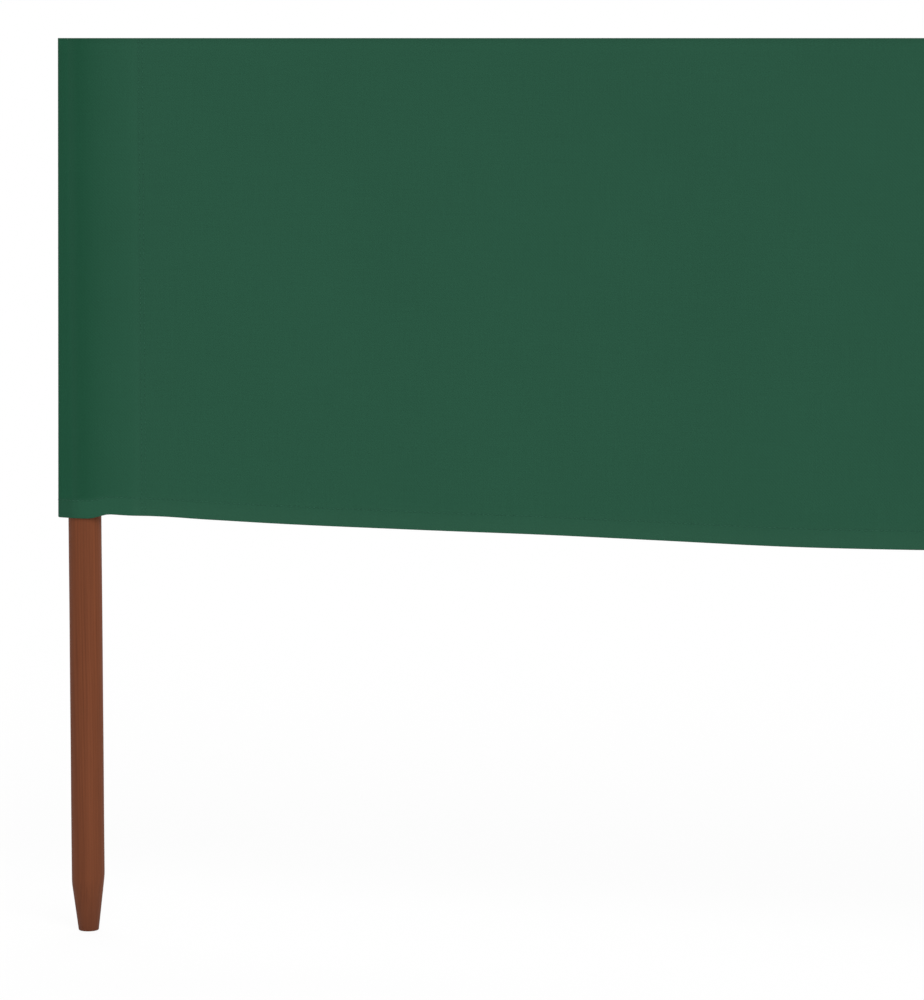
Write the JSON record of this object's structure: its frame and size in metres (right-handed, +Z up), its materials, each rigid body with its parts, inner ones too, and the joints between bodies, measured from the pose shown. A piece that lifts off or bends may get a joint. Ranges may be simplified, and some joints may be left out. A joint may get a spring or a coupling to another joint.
{
  "type": "beach windbreak",
  "caption": "Long green cloth held upright by a row of round wooden poles in stitched pockets, with blunt points below that are pushed into sand to screen off the wind.",
  "frame": {"origin": "centre of the flat point of the middle pole", "axes": "+X along the cloth from the picture's end pole to the other end, +Y to the back where the hem is turned up, +Z up the poles"},
  "size_m": [6.0464, 0.0348, 0.8],
  "materials": {
    "pole_wood": "brown stain, dull sheen",
    "cloth": "dark green woven polyester, matt"
  },
  "bodies": {
    "root": {"pole_1": "pole_wood", "pole_2": "pole_wood", "pole_3": "pole_wood", "pole_4": "pole_wood", "pole_5": "pole_wood", "pole_6": "pole_wood", "pole_7": "pole_wood", "pole_pocket_1": "cloth", "pole_pocket_2": "cloth", "pole_pocket_3": "cloth", "pole_pocket_4": "cloth", "pole_pocket_5": "cloth", "pole_pocket_6": "cloth", "pole_pocket_7": "cloth", "cloth_bay_1": "cloth", "cloth_bay_2": "cloth", "cloth_bay_3": "cloth", "cloth_bay_4": "cloth", "cloth_bay_5": "cloth", "cloth_bay_6": "cloth"}
  },
  "joints": []
}
